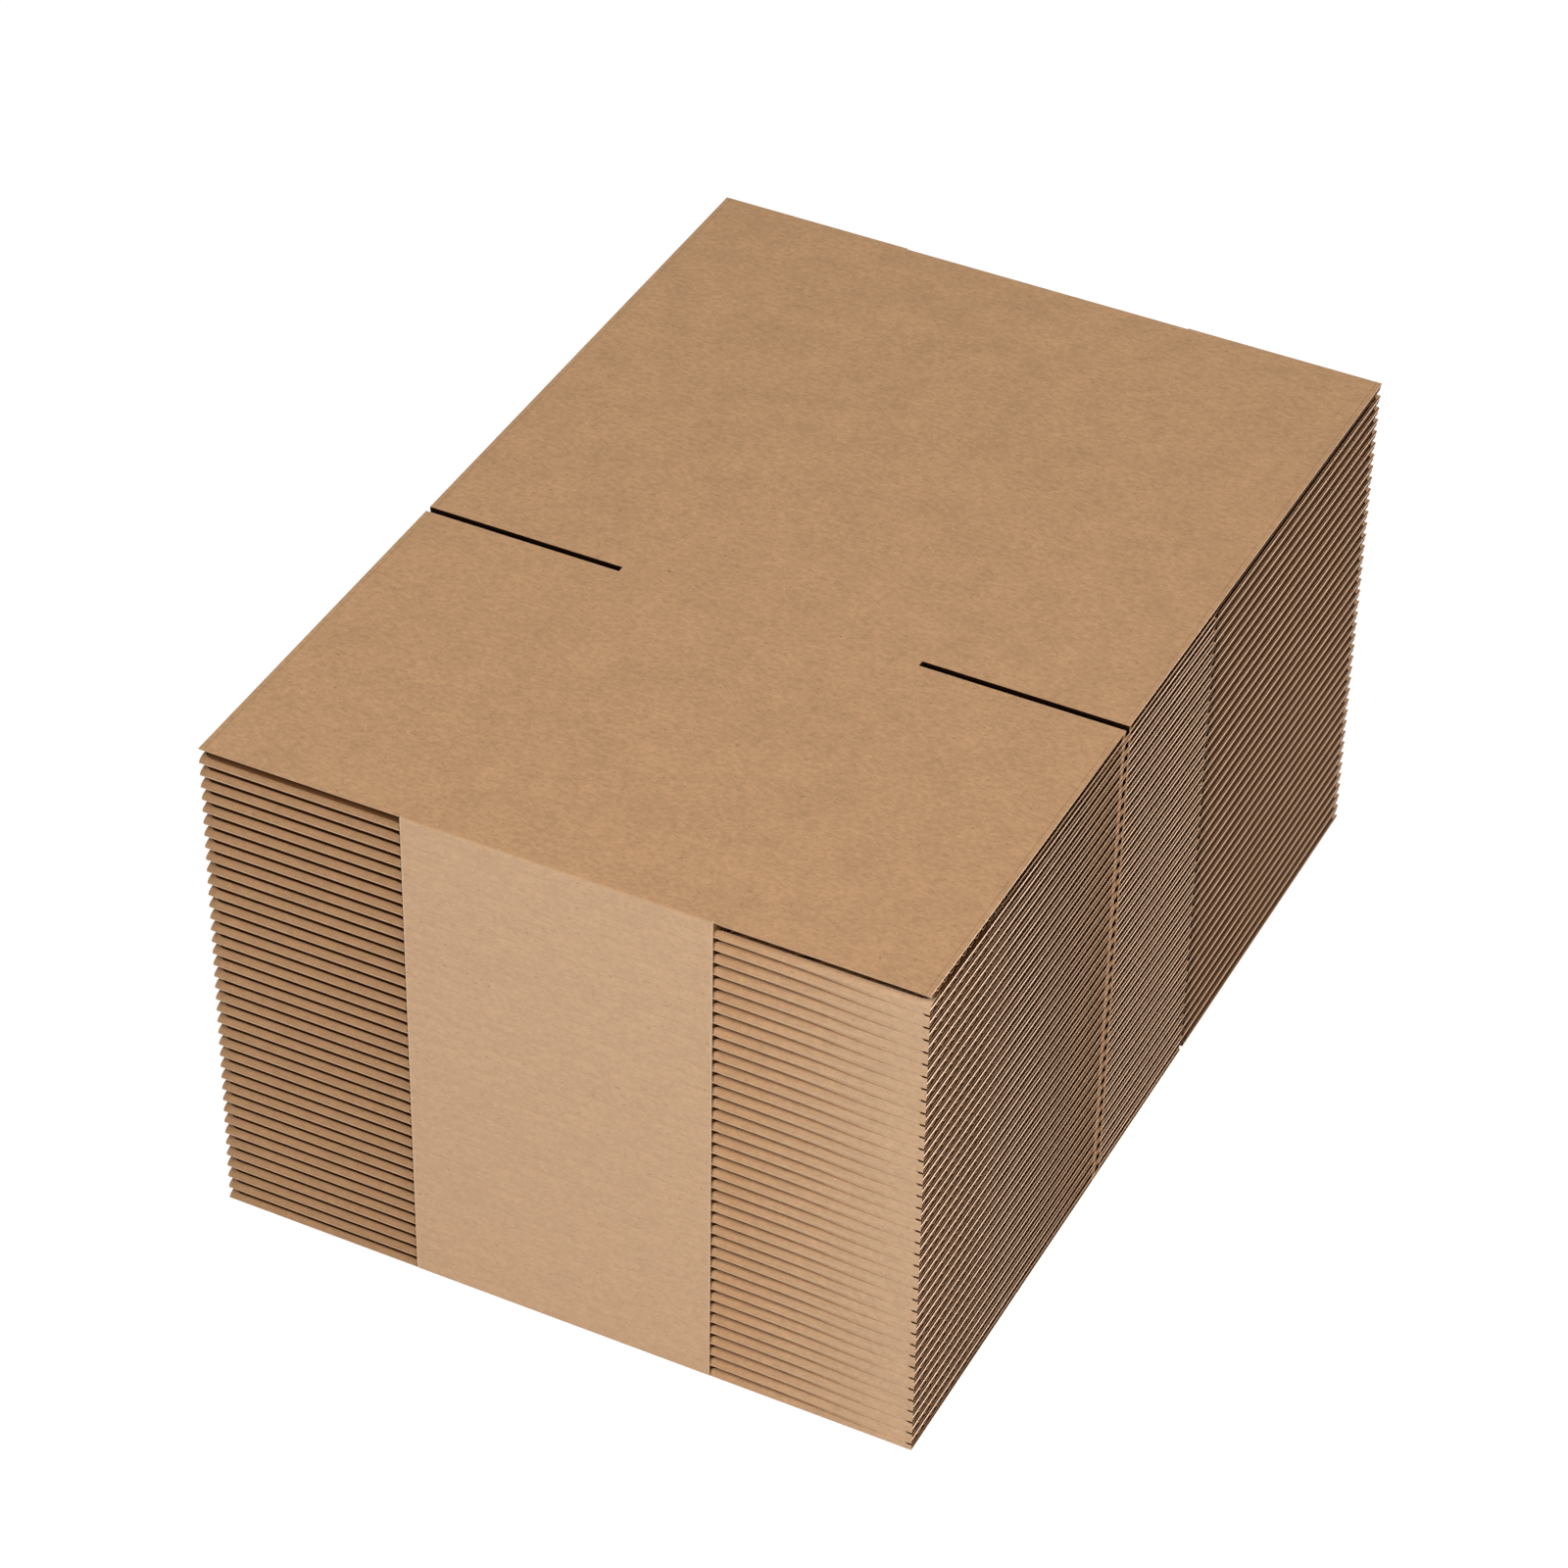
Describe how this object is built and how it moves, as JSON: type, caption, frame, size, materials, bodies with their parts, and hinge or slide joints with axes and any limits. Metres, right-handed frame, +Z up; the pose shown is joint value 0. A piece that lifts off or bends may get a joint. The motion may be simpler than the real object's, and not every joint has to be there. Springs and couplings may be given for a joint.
{
  "type": "stack of flattened cardboard boxes",
  "caption": "Stack of knocked-down corrugated shipping boxes, each a glued tube of kraft board folded flat with slotted flaps at both ends.",
  "frame": {"origin": "middle of the stack's footprint, on the surface that it stands on", "axes": "+X along the flutes, from flaps to flaps; +Y across the panels, from fold to fold; +Z up through the stack"},
  "size_m": [0.3556, 0.508, 0.2693],
  "materials": {
    "kraft_board": "matte uncoated kraft"
  },
  "bodies": {
    "root": {"flat_box_01": "kraft_board", "flat_box_02": "kraft_board", "flat_box_03": "kraft_board", "flat_box_04": "kraft_board", "flat_box_05": "kraft_board", "flat_box_06": "kraft_board", "flat_box_07": "kraft_board", "flat_box_08": "kraft_board", "flat_box_09": "kraft_board", "flat_box_10": "kraft_board", "flat_box_11": "kraft_board", "flat_box_12": "kraft_board", "flat_box_13": "kraft_board", "flat_box_14": "kraft_board", "flat_box_15": "kraft_board", "flat_box_16": "kraft_board", "flat_box_17": "kraft_board", "flat_box_18": "kraft_board", "flat_box_19": "kraft_board", "flat_box_20": "kraft_board", "flat_box_21": "kraft_board", "flat_box_22": "kraft_board", "flat_box_23": "kraft_board", "flat_box_24": "kraft_board", "flat_box_25": "kraft_board", "flat_box_26": "kraft_board", "flat_box_27": "kraft_board", "flat_box_28": "kraft_board", "flat_box_29": "kraft_board", "flat_box_30": "kraft_board", "flat_box_31": "kraft_board", "flat_box_32": "kraft_board", "flat_box_33": "kraft_board", "flat_box_34": "kraft_board", "flat_box_35": "kraft_board", "flat_box_36": "kraft_board", "flat_box_37": "kraft_board", "flat_box_38": "kraft_board", "flat_box_39": "kraft_board"}
  },
  "joints": []
}
